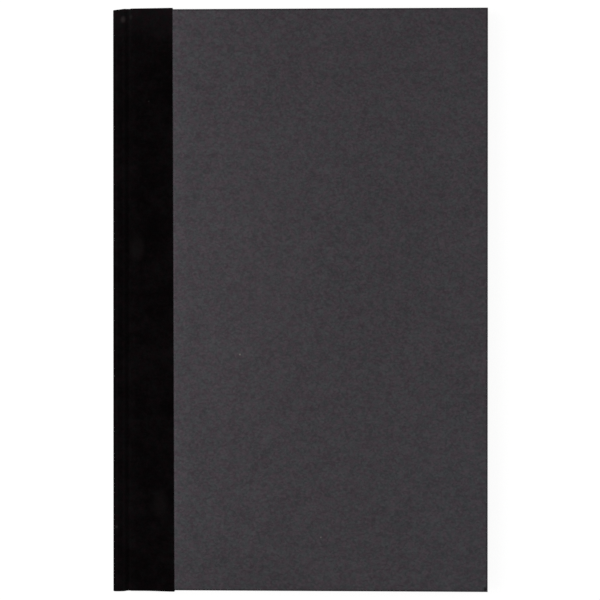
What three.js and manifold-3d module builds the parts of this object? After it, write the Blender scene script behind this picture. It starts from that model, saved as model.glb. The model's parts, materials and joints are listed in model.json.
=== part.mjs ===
// Quarter-bound folio notebook: two paper-covered boards, a cloth spine and a block of sewn sections.
// Millimetres. The notebook lies closed on its back cover: +Z is up, +Y is the head, the spine is at -X.
// The origin is the middle of the whole notebook in X and Y, on the plane that it rests on.

import * as THREE from 'three';
import { mergeVertices } from 'three/addons/utils/BufferGeometryUtils.js';
import Module from 'manifold-3d';

const wasm = await Module();
wasm.setup();

// Leaves and sections
const leafWidth = 210;
const leafHeight = 330;
const leafThickness = 0.09;
const leafGap = 0.02;
const sheetsPerSection = 4;
const sectionCount = 10;
const sectionGap = 0.04;
const foldSteps = 8;
const glueDepth = 0.3;

// Endpapers
const endpaperThickness = 0.15;
const pastedownMargin = 3.0;

// Boards and their squares
const boardThickness = 2.5;
const headSquare = 2.5;
const foreSquare = 3.15;
const jointWidth = 11.4;

// Covering paper
const coverPaperThickness = 0.25;
const coverPaperLap = 8;
const turnInWidth = 15;
const mitreSlit = 0.3;

// Book cloth
const clothThickness = 0.4;
const clothOnCover = 34.5;
const clothStandOff = 0.3;
const spineEdgeRadius = 1.8;
const shoulderDrop = 0.15;
const grooveDepth = 1.3;
const grooveStart = 6.4;
const grooveBottom = 8.8;
const grooveEnd = 11.2;
const arcSteps = 4;
const grooveSteps = 6;
const hingeGap = 0.1;
const mitreOverrun = 0.3;
const wrapStart = 0.75;

// Spine: inlay card, hollow, lining and sewing
const inlayThickness = 1.0;
const inlayTrim = 0.6;
const spineHollow = 0.5;
const liningThickness = 0.2;
const liningLength = 300;
const liningOnBoard = 20;
const liningFlapInset = 1.0;
const threadDiameter = 0.3;
const threadSides = 6;
const threadRun = 292;
const stepRadius = 0.12;

// Clearance between two layers that are glued or lie on each other
const layerGap = 0.05;

// Levels, measured inwards from the outer face of a cover
const paperFace = clothThickness;
const paperLapFace = clothThickness + layerGap;
const boardOuter = paperFace + coverPaperThickness + layerGap;
const boardInner = boardOuter + boardThickness;
const paperTurnOuter = boardInner + layerGap;
const paperTurnInner = paperTurnOuter + coverPaperThickness;
const clothTurnOuter = paperTurnInner + layerGap;
const clothTurnInner = clothTurnOuter + clothThickness;
const pastedownOuter = clothTurnInner + layerGap;
const pastedownInner = pastedownOuter + endpaperThickness;
const flyleafOuter = pastedownInner + layerGap;
const flyleafInner = flyleafOuter + endpaperThickness;
const blockFace = flyleafInner + layerGap;

// Heights of the block and of the whole notebook
const leafPitch = leafThickness + leafGap;
const leavesPerSection = sheetsPerSection * 2;
const sectionThickness = leavesPerSection * leafPitch - leafGap;
const sectionPitch = sectionThickness + sectionGap;
const blockThickness = sectionCount * sectionPitch - sectionGap;
const notebookThickness = blockThickness + 2 * blockFace;
const middleHeight = notebookThickness / 2;

// Places across the notebook, from the spine to the fore edge
const inlayBack = clothThickness + layerGap;
const inlayFront = inlayBack + inlayThickness;
const liningBack = inlayFront + spineHollow;
const liningFront = liningBack + liningThickness;
const threadBack = liningFront + layerGap;
const blockBack = threadBack + threadDiameter + layerGap;
const boardFore = blockBack + leafWidth + foreSquare;
const caseWidth = boardFore + layerGap + coverPaperThickness;
const spineX = -caseWidth / 2;
const blockX = spineX + blockBack;
const leafForeX = blockX + leafWidth;
const boardJointX = spineX + jointWidth;
const boardForeX = spineX + boardFore;
const coverForeX = spineX + caseWidth;
const seamX = spineX + clothOnCover;
const coverPaperX = seamX - coverPaperLap;

// Places from the middle of the height towards the head and the tail
const leafEnd = leafHeight / 2;
const boardEnd = leafEnd + headSquare;
const paperEnd = boardEnd + layerGap + coverPaperThickness;
const clothEnd = paperEnd + clothStandOff + clothThickness;

// Finishes
const charcoalPaper = new THREE.MeshStandardMaterial({ color: '#3d3a3e', roughness: 0.85, metalness: 0 });
const blackCloth = new THREE.MeshStandardMaterial({ color: '#0f0d0e', roughness: 0.9, metalness: 0 });
const greyBoard = new THREE.MeshStandardMaterial({ color: '#8d877d', roughness: 0.95, metalness: 0 });
const pagePaper = new THREE.MeshStandardMaterial({ color: '#ece7d9', roughness: 0.9, metalness: 0 });
const endPaper = new THREE.MeshStandardMaterial({ color: '#e2dccb', roughness: 0.9, metalness: 0 });
const liningMull = new THREE.MeshStandardMaterial({ color: '#cfc8b4', roughness: 0.95, metalness: 0 });
const linenThread = new THREE.MeshStandardMaterial({ color: '#ded8c8', roughness: 0.8, metalness: 0 });

// Turn a closed geometry into a solid that can be joined and cut.
function solidOf(geometry) {
  const bare = geometry.clone();
  bare.deleteAttribute('normal');
  bare.deleteAttribute('uv');
  const merged = mergeVertices(bare, 1e-5);
  return new wasm.Manifold(new wasm.Mesh({
    numProp: 3,
    vertProperties: new Float32Array(merged.attributes.position.array),
    triVerts: new Uint32Array(merged.index.array),
  }));
}

// Turn a joined or cut solid back into a geometry.
function geometryOf(solid) {
  const mesh = solid.getMesh();
  const geometry = new THREE.BufferGeometry();
  geometry.setAttribute('position', new THREE.BufferAttribute(new Float32Array(mesh.vertProperties), 3));
  geometry.setIndex(new THREE.BufferAttribute(new Uint32Array(mesh.triVerts), 1));
  geometry.computeVertexNormals();
  return geometry;
}

// A flat slab between two corners.
function slab(low, high) {
  const size = high.map((value, axis) => value - low[axis]);
  const geometry = new THREE.BoxGeometry(...size);
  geometry.translate(...low.map((value, axis) => value + size[axis] / 2));
  return geometry;
}

// A closed outline of [x, z] points, drawn out along Y from tailY to headY.
function drawnAlongY(outline, tailY, headY) {
  const shape = new THREE.Shape(outline.map(([x, z]) => new THREE.Vector2(x, z)));
  const geometry = new THREE.ExtrudeGeometry(shape, { depth: headY - tailY, bevelEnabled: false });
  geometry.rotateX(Math.PI / 2);
  geometry.translate(0, headY, 0);
  return geometry;
}

// Points on an arc in the XZ plane, both ends included.
function arcPoints(centreX, centreZ, radius, fromAngle, toAngle, steps) {
  const points = [];
  for (let step = 0; step <= steps; step += 1) {
    const angle = fromAngle + (toAngle - fromAngle) * step / steps;
    points.push([centreX + radius * Math.cos(angle), centreZ + radius * Math.sin(angle)]);
  }
  return points;
}

// A smooth rise from 0 to 1 as share goes from 0 to 1.
function easedShare(share) {
  return (1 - Math.cos(Math.PI * share)) / 2;
}

// The height of the outer face of a cover's cloth at a distance from the spine edge.
function clothFaceAt(distance) {
  if (distance <= grooveStart) return shoulderDrop;
  if (distance <= grooveBottom) {
    const share = (distance - grooveStart) / (grooveBottom - grooveStart);
    return shoulderDrop + (grooveDepth - shoulderDrop) * easedShare(share);
  }
  if (distance >= grooveEnd) return 0;
  return grooveDepth * (1 - easedShare((distance - grooveBottom) / (grooveEnd - grooveBottom)));
}

// The face of the cloth over the joint, at a depth below its outer face: the rolled spine edge from
// the hinge line, the shoulder, the groove and the start of the board. With an overrun, it starts that
// angle past the hinge line.
function jointCurve(depth, lastDistance, overrun = 0) {
  const gapAngle = Math.asin(hingeGap / 2 / spineEdgeRadius) - overrun;
  const centreX = spineX + spineEdgeRadius;
  const centreZ = shoulderDrop + spineEdgeRadius;
  const points = arcPoints(
    centreX, centreZ, spineEdgeRadius - depth, Math.PI * 1.25 + gapAngle, Math.PI * 1.5, arcSteps);
  const distances = [];
  for (let step = 0; step < grooveSteps; step += 1) {
    distances.push(grooveStart + (grooveBottom - grooveStart) * step / grooveSteps);
  }
  for (let step = 0; step <= grooveSteps; step += 1) {
    distances.push(grooveBottom + (grooveEnd - grooveBottom) * step / grooveSteps);
  }
  const probe = 0.01;
  for (const distance of distances.filter((value) => value < lastDistance)) {
    const slope = (clothFaceAt(distance + probe) - clothFaceAt(distance - probe)) / (2 * probe);
    const length = Math.hypot(1, slope);
    points.push([
      spineX + distance - depth * slope / length,
      clothFaceAt(distance) + depth / length,
    ]);
  }
  return points;
}

// Greyboard of one cover.
function boardGeometry() {
  return slab([boardJointX, -boardEnd, boardOuter], [boardForeX, boardEnd, boardInner]);
}

// Covering paper of one cover: wrapped round three edges of the board, turned in and mitred.
function coverPaperGeometry() {
  const beyond = turnInWidth;
  const wrap = solidOf(slab([coverPaperX, -paperEnd, paperFace], [coverForeX, paperEnd, paperTurnInner]));
  const boardRoom = solidOf(slab(
    [coverPaperX - beyond, -boardEnd - layerGap, boardOuter - layerGap],
    [boardForeX + layerGap, boardEnd + layerGap, paperTurnOuter]));
  const window = solidOf(slab(
    [coverPaperX - beyond, turnInWidth - paperEnd, boardInner],
    [coverForeX - turnInWidth, paperEnd - turnInWidth, paperTurnInner + beyond]));
  const lapRecess = solidOf(slab(
    [coverPaperX - beyond, -paperEnd - beyond, paperFace - beyond],
    [seamX, paperEnd + beyond, paperLapFace]));
  let paper = wrap.subtract(boardRoom).subtract(window).subtract(lapRecess);
  for (const side of [-1, 1]) {
    const slit = slab(
      [-turnInWidth * Math.SQRT2, -mitreSlit / 2, boardInner],
      [0, mitreSlit / 2, paperTurnInner + beyond]);
    slit.rotateZ(side * Math.PI / 4);
    slit.translate(boardForeX, side * boardEnd, 0);
    paper = paper.subtract(solidOf(slit));
  }
  return geometryOf(paper);
}

// The cloth of one cover, over the joint and onto the board: doubled by the turned-in hems in the
// joint at head and tail, and wrapped round the ends of the board.
function coverClothGeometry() {
  const hemEnd = jointWidth - clothThickness * 2;
  const thick = [
    ...jointCurve(0, caseWidth), [seamX, 0], [seamX, clothThickness],
    ...jointCurve(clothThickness, caseWidth).reverse().filter(([x]) => x > spineX + hemEnd),
    ...jointCurve(clothThickness * 2, hemEnd).reverse(),
  ];
  const betweenHems = [
    ...jointCurve(clothThickness, caseWidth, mitreOverrun), [coverForeX, clothThickness],
    [coverForeX, clothTurnInner], [spineX, clothTurnInner],
  ];
  const openEnd = clothEnd - turnInWidth;
  let cloth = solidOf(drawnAlongY(thick, -clothEnd, clothEnd));
  cloth = cloth.subtract(solidOf(drawnAlongY(betweenHems, -openEnd, openEnd)));
  const wrapX = boardJointX - layerGap;
  const edge = clothEnd - clothThickness;
  for (const side of [-1, 1]) {
    const [low, high] = [side * openEnd, side * clothEnd].sort((a, b) => a - b);
    const [roomLow, roomHigh] = [side * edge, side * (openEnd - turnInWidth)].sort((a, b) => a - b);
    const wrap = solidOf(slab([wrapX, low, clothThickness * wrapStart], [seamX, high, clothTurnInner]));
    const room = solidOf(slab(
      [wrapX - jointWidth, roomLow, clothThickness],
      [seamX + jointWidth, roomHigh, clothTurnOuter]));
    cloth = cloth.add(wrap.subtract(room));
  }
  return geometryOf(cloth);
}

// Mull flap glued to the inside of a board, running out into the joint.
function liningFlapGeometry() {
  return slab(
    [blockX + liningFlapInset, -liningLength / 2, paperTurnOuter],
    [boardJointX + liningOnBoard, liningLength / 2, paperTurnOuter + liningThickness]);
}

// Pastedown: the half of an endpaper that is glued to the inside of a cover.
function pastedownGeometry() {
  return slab(
    [blockX + liningFlapInset, -leafEnd, pastedownOuter],
    [coverForeX - pastedownMargin, leafEnd, pastedownInner]);
}

// Spine cloth between the two hinge lines, turned in over the ends of the inlay.
function spineClothGeometry() {
  const gapAngle = Math.asin(hingeGap / 2 / spineEdgeRadius);
  const centreX = spineX + spineEdgeRadius;
  const lowCentre = shoulderDrop + spineEdgeRadius;
  const highCentre = notebookThickness - lowCentre;
  const wall = (radius) => [
    ...arcPoints(centreX, highCentre, radius, Math.PI * 0.75 + gapAngle, Math.PI, arcSteps),
    ...arcPoints(centreX, lowCentre, radius, Math.PI, Math.PI * 1.25 - gapAngle, arcSteps),
  ];
  const face = [...wall(spineEdgeRadius), ...wall(spineEdgeRadius - clothThickness).reverse()];
  let cloth = solidOf(drawnAlongY(face, -clothEnd, clothEnd));
  const turnFront = spineX + inlayFront + layerGap + clothThickness;
  const openEnd = clothEnd - turnInWidth;
  const edge = clothEnd - clothThickness;
  for (const side of [-1, 1]) {
    const [low, high] = [side * openEnd, side * clothEnd].sort((a, b) => a - b);
    const [roomLow, roomHigh] = [side * edge, side * (openEnd - turnInWidth)].sort((a, b) => a - b);
    const wrap = solidOf(slab(
      [spineX + clothThickness * wrapStart, low, lowCentre], [turnFront, high, highCentre]));
    const room = solidOf(slab(
      [spineX + clothThickness, roomLow, 0],
      [spineX + inlayFront + layerGap, roomHigh, notebookThickness]));
    cloth = cloth.add(wrap.subtract(room));
  }
  return geometryOf(cloth);
}

// Card inlay that stiffens the spine, trimmed a little shorter than the boards.
function spineInlayGeometry() {
  const endY = boardEnd - inlayTrim;
  const lowZ = shoulderDrop + spineEdgeRadius;
  return slab([spineX + inlayBack, -endY, lowZ], [spineX + inlayFront, endY, notebookThickness - lowZ]);
}

// One section: sheets folded once and nested, pressed and glued at their folds, free beyond them and
// trimmed flush at the fore edge. Its back is at x = 0 and its middle at z = 0.
function sectionGeometry() {
  const radius = sectionThickness / 2;
  const freeX = radius + glueDepth;
  const outline = arcPoints(radius, 0, radius, Math.PI / 2, Math.PI * 1.5, foldSteps);
  for (let leaf = 0; leaf < leavesPerSection; leaf += 1) {
    const underside = -radius + leaf * leafPitch;
    if (leaf > 0) outline.push([freeX, underside]);
    outline.push([leafWidth, underside], [leafWidth, underside + leafThickness]);
    if (leaf < leavesPerSection - 1) outline.push([freeX, underside + leafThickness]);
  }
  return geometryOf(solidOf(drawnAlongY(outline, -leafEnd, leafEnd)));
}

// The sewing thread of some sections in a row: it runs along the back of one fold, steps to the next
// at the head or the tail, and runs back. Its first run is at z = 0.
function threadGeometry(runs) {
  const radius = threadDiameter / 2;
  let thread = null;
  for (let run = 0; run < runs; run += 1) {
    const along = new THREE.CylinderGeometry(radius, radius, threadRun, threadSides);
    along.translate(0, 0, run * sectionPitch);
    thread = thread ? thread.add(solidOf(along)) : solidOf(along);
    if (run === runs - 1) break;
    const end = run % 2 === 0 ? 1 : -1;
    const step = new THREE.CylinderGeometry(stepRadius, stepRadius, sectionPitch, threadSides);
    step.rotateX(Math.PI / 2);
    step.translate(0, end * (threadRun / 2 - threadDiameter), (run + 0.5) * sectionPitch);
    thread = thread.add(solidOf(step));
  }
  return geometryOf(thread);
}

// Add a named piece to a group.
function addPiece(parent, name, geometry, material) {
  const mesh = new THREE.Mesh(geometry, material.clone());
  mesh.name = name;
  parent.add(mesh);
  return mesh;
}

// All the pieces of one cover, outer face down on z = 0.
function coverGroup(name) {
  const cover = new THREE.Group();
  addPiece(cover, `${name}_board`, boardGeometry(), greyBoard);
  addPiece(cover, `${name}_cover_paper`, coverPaperGeometry(), charcoalPaper);
  addPiece(cover, `${name}_cloth`, coverClothGeometry(), blackCloth);
  addPiece(cover, `${name}_mull_flap`, liningFlapGeometry(), liningMull);
  addPiece(cover, `${name}_pastedown`, pastedownGeometry(), endPaper);
  const flyleaf = slab([blockX, -leafEnd, flyleafOuter], [leafForeX, leafEnd, flyleafInner]);
  addPiece(cover, `${name}_flyleaf`, flyleaf, endPaper);
  return cover;
}

const notebook = new THREE.Group();
notebook.name = 'folio_notebook';

const backCover = coverGroup('back');
notebook.add(backCover);

const frontCover = coverGroup('front');
frontCover.rotation.x = Math.PI;
frontCover.position.z = notebookThickness;
notebook.add(frontCover);

addPiece(notebook, 'spine_inlay', spineInlayGeometry(), greyBoard);
addPiece(notebook, 'spine_cloth', spineClothGeometry(), blackCloth);

// The lining on the back of the block, parted where the block opens at its middle.
const liningX = [spineX + liningBack, spineX + liningFront];
const rearLining = slab(
  [liningX[0], -liningLength / 2, blockFace],
  [liningX[1], liningLength / 2, middleHeight - layerGap]);
addPiece(notebook, 'rear_spine_lining', rearLining, liningMull);
const frontLining = slab(
  [liningX[0], -liningLength / 2, middleHeight + layerGap],
  [liningX[1], liningLength / 2, notebookThickness - blockFace]);
addPiece(notebook, 'front_spine_lining', frontLining, liningMull);

// The thread of the sections behind the middle, and of those in front of it.
const threadX = blockX - layerGap - threadDiameter / 2;
const firstFold = blockFace + sectionThickness / 2;
const rearSections = sectionCount / 2;
const rearThread = addPiece(notebook, 'rear_sewing_thread', threadGeometry(rearSections), linenThread);
rearThread.position.set(threadX, 0, firstFold);
const frontThread = addPiece(
  notebook, 'front_sewing_thread', threadGeometry(sectionCount - rearSections), linenThread);
frontThread.position.set(threadX, 0, firstFold + rearSections * sectionPitch);

// Section 01 is under the front cover, and the last one lies on the back endpaper.
for (let number = 1; number <= sectionCount; number += 1) {
  const label = String(number).padStart(2, '0');
  const section = addPiece(notebook, `section_${label}`, sectionGeometry(), pagePaper);
  section.position.set(blockX, 0, firstFold + (sectionCount - number) * sectionPitch);
}

export default notebook;
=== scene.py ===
"""Looks of a quarter-bound folio notebook: charcoal paper sides, a black cloth spine, sewn leaves.

Lengths are in metres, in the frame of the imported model: +Z up, +Y towards the head, spine at -X.
"""

import json
import logging
import math
from collections.abc import Callable
from dataclasses import dataclass
from enum import Enum

import bmesh
import bpy
from mathutils import Matrix, Vector


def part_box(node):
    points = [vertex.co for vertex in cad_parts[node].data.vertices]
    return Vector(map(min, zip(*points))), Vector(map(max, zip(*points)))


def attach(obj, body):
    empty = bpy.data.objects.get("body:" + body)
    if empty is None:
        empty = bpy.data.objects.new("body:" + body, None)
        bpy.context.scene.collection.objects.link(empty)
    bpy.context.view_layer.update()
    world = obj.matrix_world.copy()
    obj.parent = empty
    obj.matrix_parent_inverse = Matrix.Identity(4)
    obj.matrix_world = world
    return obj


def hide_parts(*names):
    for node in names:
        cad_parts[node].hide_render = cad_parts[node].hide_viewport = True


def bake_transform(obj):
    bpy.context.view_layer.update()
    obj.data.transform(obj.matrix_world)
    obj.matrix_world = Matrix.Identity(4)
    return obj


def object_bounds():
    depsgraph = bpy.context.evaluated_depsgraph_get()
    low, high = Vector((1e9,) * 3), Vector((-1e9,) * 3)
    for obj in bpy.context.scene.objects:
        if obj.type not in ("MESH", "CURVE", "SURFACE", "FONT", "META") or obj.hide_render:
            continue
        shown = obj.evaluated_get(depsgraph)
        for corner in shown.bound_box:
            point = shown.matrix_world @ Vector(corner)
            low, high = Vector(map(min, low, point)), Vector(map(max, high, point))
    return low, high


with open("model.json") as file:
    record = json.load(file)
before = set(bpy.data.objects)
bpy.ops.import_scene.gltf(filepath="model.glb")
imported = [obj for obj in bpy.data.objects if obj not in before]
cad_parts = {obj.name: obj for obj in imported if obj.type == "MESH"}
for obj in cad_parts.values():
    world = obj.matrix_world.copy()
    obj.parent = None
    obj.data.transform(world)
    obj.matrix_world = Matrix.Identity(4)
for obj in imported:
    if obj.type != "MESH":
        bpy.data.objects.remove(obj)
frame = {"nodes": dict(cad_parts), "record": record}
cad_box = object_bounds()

Color = tuple[float, float, float, float]
Socket = bpy.types.NodeSocket
Sockets = bpy.types.bpy_prop_collection

MM = 0.001
PHOTO_SIDE_PX = 600
PHOTO_PX_PER_MM = 1.7375
WHITE = (1.0, 1.0, 1.0, 1.0)
X_AXIS = Vector((1.0, 0.0, 0.0))
Y_AXIS = Vector((0.0, 1.0, 0.0))
Z_AXIS = Vector((0.0, 0.0, 1.0))
CLOTH_UV = "cloth_lie"
GRID_LAYER = "grid"
# Width of the cloth and paper that are folded in over the boards
TURN_IN = 15.0 * MM
# Places closer than this count as one
TOUCH = 0.001 * MM
# Where on a rolled spine edge the hinge line lies, as an angle from the spine
HINGE_ANGLE = math.pi / 4
# A place beyond every piece, for paper that has no trimmed edge
FAR_AWAY = 1.0
# Numbers of the Mix node's colour sockets, which share their names with its other sockets
MIX_FACTOR, MIX_FIRST, MIX_SECOND, MIX_RESULT = 0, 6, 7, 2

log = logging.getLogger("folio_notebook")


class Side(Enum):
    """Which cover a piece belongs to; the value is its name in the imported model."""

    FRONT = "front"
    BACK = "back"


class End(Enum):
    """An end of the notebook; the value is the sign of its Y."""

    HEAD = 1
    TAIL = -1


def eased(share: float) -> float:
    """Smooth rise from 0 to 1 as share goes from 0 to 1."""
    share = min(1.0, max(0.0, share))
    return (1.0 - math.cos(math.pi * share)) / 2.0


def evenly(start: float, stop: float, steps: int) -> list[float]:
    """Places from start towards stop in even steps, without stop itself."""
    return [start + (stop - start) * step / steps for step in range(steps)]


@dataclass(frozen=True)
class CaseSizes:
    """Places and sizes of the case and its block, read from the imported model.

    Depths are measured inwards from the outer face of the cloth on a cover.
    """

    spine_x: float
    fore_x: float
    seam_x: float
    board_x: float
    cloth_end: float
    paper_end: float
    leaf_end: float
    block_x: float
    leaf_fore_x: float
    thickness: float
    cloth: float
    paper: float
    cloth_turn_depth: float
    spine_turn_x: float

    @classmethod
    def from_frame(cls) -> "CaseSizes":
        """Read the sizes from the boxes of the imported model's nodes.

        Returns:
            The sizes that every sub-assembly is built from.
        """
        low, high = cad_box
        cloth_low, cloth_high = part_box("back_cloth")
        paper_low, paper_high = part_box("back_cover_paper")
        section_low, section_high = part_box("section_10")
        board_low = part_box("back_board")[0]
        spine_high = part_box("spine_cloth")[1]
        return cls(
            spine_x=low.x,
            fore_x=high.x,
            seam_x=cloth_high.x,
            board_x=board_low.x,
            cloth_end=high.y,
            paper_end=paper_high.y,
            leaf_end=section_high.y,
            block_x=section_low.x,
            leaf_fore_x=section_high.x,
            thickness=high.z - low.z,
            cloth=paper_low.z - cloth_low.z,
            paper=board_low.z - paper_low.z,
            cloth_turn_depth=cloth_high.z,
            spine_turn_x=spine_high.x,
        )

    @property
    def middle(self) -> float:
        """Height of the plane half-way between the two covers."""
        return self.thickness / 2

    @property
    def doubled(self) -> float:
        """Thickness of the cloth and its turn-in, one on the other."""
        return self.cloth * 2


@dataclass(frozen=True)
class JointForm:
    """Form of the cloth over the joint, as distances from the spine edge and depths."""

    edge_radius: float = 1.8 * MM
    shoulder: float = 0.15 * MM
    groove_depth: float = 1.3 * MM
    groove_start: float = 6.4 * MM
    groove_bottom: float = 8.8 * MM
    groove_end: float = 11.2 * MM
    shoulder_step: float = 1.0 * MM
    shoulder_steps: int = 5
    groove_step: float = 0.35 * MM
    cover_steps: int = 8
    probe: float = 0.01 * MM

    @property
    def edge_depth(self) -> float:
        """Depth at which the rolled edge runs into the flat of the spine."""
        return self.shoulder + self.edge_radius

    def depth_at(self, distance: float) -> float:
        """Depth of the cloth's outer face at a distance from the spine edge.

        Args:
            distance: Distance from the spine edge, in metres.

        Returns:
            Depth below the cover's outer face, in metres.
        """
        if distance <= self.groove_start:
            return self.shoulder
        if distance >= self.groove_end:
            return 0.0
        if distance <= self.groove_bottom:
            share = (distance - self.groove_start) / (self.groove_bottom - self.groove_start)
            return self.shoulder + (self.groove_depth - self.shoulder) * eased(share)
        share = (distance - self.groove_bottom) / (self.groove_end - self.groove_bottom)
        return self.groove_depth * (1.0 - eased(share))

    def slope_at(self, distance: float) -> float:
        """Gain in depth for each metre of distance from the spine edge."""
        gain = self.depth_at(distance + self.probe) - self.depth_at(distance - self.probe)
        return gain / (2 * self.probe)

    def distances(self, seam: float) -> list[float]:
        """Choose where the cloth gets its lines of corners, close together over the groove.

        Args:
            seam: Distance of the seam from the spine edge.

        Returns:
            Distances from the spine edge, from the rolled edge to the seam.
        """
        places = [self.edge_radius + self.shoulder_step * step for step in range(self.shoulder_steps)]
        while places[-1] < self.groove_end:
            places.append(places[-1] + self.groove_step)
        return places + evenly(places[-1], seam, self.cover_steps)[1:] + [seam]


@dataclass(frozen=True)
class HandCut:
    """How the hand-cut cloth strays from straight lines.

    Its folded ends dip inwards by distance from the spine. Its seam slants, and lies a little further
    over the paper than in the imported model.
    """

    corner_dip: float = 0.65 * MM
    corner_reach: float = 9.0 * MM
    slope_dip: float = 0.42 * MM
    slope_reach: float = 35.0 * MM
    tail_dip: float = 0.38 * MM
    tail_start: float = 2.7 * MM
    tail_turn: float = 17.5 * MM
    seam_slant: float = 0.5 * MM
    seam_stray: float = 0.5 * MM

    def dip(self, end: End, distance: float) -> float:
        """Shortfall at an end.

        Args:
            end: Head or tail.
            distance: Distance from the spine edge.

        Returns:
            How far the fold lies inside the straight line.
        """
        if end is End.HEAD:
            corner = self.corner_dip * (1.0 - eased(distance / self.corner_reach))
            return corner + self.slope_dip * max(0.0, 1.0 - distance / self.slope_reach)
        rise = eased((distance - self.tail_start) / self.corner_reach)
        fall = 1.0 - eased((distance - self.tail_turn) / (self.slope_reach - self.tail_turn))
        return self.tail_dip * rise * fall


class Graph:
    """Adds and links the nodes of one material or node group."""

    def __init__(self, tree: bpy.types.NodeTree) -> None:
        """Start on a node tree."""
        self.tree = tree

    def add(self, kind: str, inputs: dict | None = None, **settings: object) -> bpy.types.Node:
        """Add a node.

        Args:
            kind: Blender's name of the node type.
            inputs: Values or sockets by input name or number.
            **settings: Properties of the node, set before its inputs.

        Returns:
            The new node.
        """
        node = self.tree.nodes.new(kind)
        for name, value in settings.items():
            setattr(node, name, value)
        for key, value in (inputs or {}).items():
            self.feed(node.inputs[key], value)
        return node

    def feed(self, socket: Socket, value: object) -> None:
        """Link a socket to an input, or set its value.

        Args:
            socket: The input socket.
            value: An output socket to link from, or a constant.
        """
        if isinstance(value, Socket):
            self.tree.links.new(value, socket)
        else:
            socket.default_value = value

    def math(self, operation: str, *values: object) -> Socket:
        """Add a Math node and return its result."""
        return self.add("ShaderNodeMath", dict(enumerate(values)), operation=operation).outputs[0]

    def plus(self, first: object, second: object) -> Socket:
        """Add two values."""
        return self.math("ADD", first, second)

    def minus(self, first: object, second: object) -> Socket:
        """Take the second value from the first."""
        return self.math("SUBTRACT", first, second)

    def times(self, first: object, second: object) -> Socket:
        """Multiply two values."""
        return self.math("MULTIPLY", first, second)

    def magnitude(self, value: object) -> Socket:
        """Drop the sign of a value."""
        return self.math("ABSOLUTE", value)

    def weigh(self, first: object, first_share: float, second: object, second_share: float) -> Socket:
        """Add two values, each multiplied by its share."""
        return self.plus(self.times(first, first_share), self.times(second, second_share))

    def raised(self, wave: object) -> Socket:
        """Turn a wave of -1 to 1 into one of 0 to 1."""
        return self.plus(self.times(wave, 0.5), 0.5)

    def split(self, vector: object) -> list[Socket]:
        """Split a vector into its three coordinates."""
        return list(self.add("ShaderNodeSeparateXYZ", {0: vector}).outputs)

    def scaled(self, vector: object, factors: tuple[float, float, float]) -> Socket:
        """Multiply each coordinate of a vector by its own factor."""
        return self.add("ShaderNodeVectorMath", {0: vector, 1: factors}, operation="MULTIPLY").outputs[0]

    def ramp(self, value: object, low: float, high: float, start: float = 0.0, end: float = 1.0) -> Socket:
        """Map a value smoothly from low..high to start..end.

        Args:
            value: The socket to map.
            low: Value that gives start.
            high: Value that gives end.
            start: Result at low.
            end: Result at high.

        Returns:
            The mapped value's socket.
        """
        inputs = {"Value": value, "From Min": low, "From Max": high, "To Min": start, "To Max": end}
        return self.add("ShaderNodeMapRange", inputs, interpolation_type="SMOOTHSTEP").outputs["Result"]

    def spread(self, noise: object, reach: float) -> Socket:
        """Stretch a noise so that reach to each side of its middle fills 0 to 1."""
        return self.ramp(noise, 0.5 - reach, 0.5 + reach)

    def noise(self, place: object, scale: object, detail: float = 2.0, roughness: float = 0.5,
              distortion: float = 0.0) -> Socket:
        """Add a Noise Texture.

        Args:
            place: Socket with the point's place.
            scale: Number of patches to the metre.
            detail: Number of finer layers.
            roughness: Strength of the finer layers.
            distortion: How much the patches are bent.

        Returns:
            The socket of its factor, from 0 to 1.
        """
        inputs = {"Vector": place, "Scale": scale, "Detail": detail, "Roughness": roughness,
                  "Distortion": distortion}
        return self.add("ShaderNodeTexNoise", inputs).outputs[0]

    def mix(self, factor: object, first: object, second: object, blend_type: str = "MIX") -> Socket:
        """Mix two colours.

        Args:
            factor: Share of the second colour.
            first: The first colour.
            second: The second colour.
            blend_type: Blender's name of the way to mix.

        Returns:
            The socket of the mixed colour.
        """
        node = self.add("ShaderNodeMix", data_type="RGBA", blend_type=blend_type)
        for number, value in ((MIX_FACTOR, factor), (MIX_FIRST, first), (MIX_SECOND, second)):
            self.feed(node.inputs[number], value)
        return node.outputs[MIX_RESULT]


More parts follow.
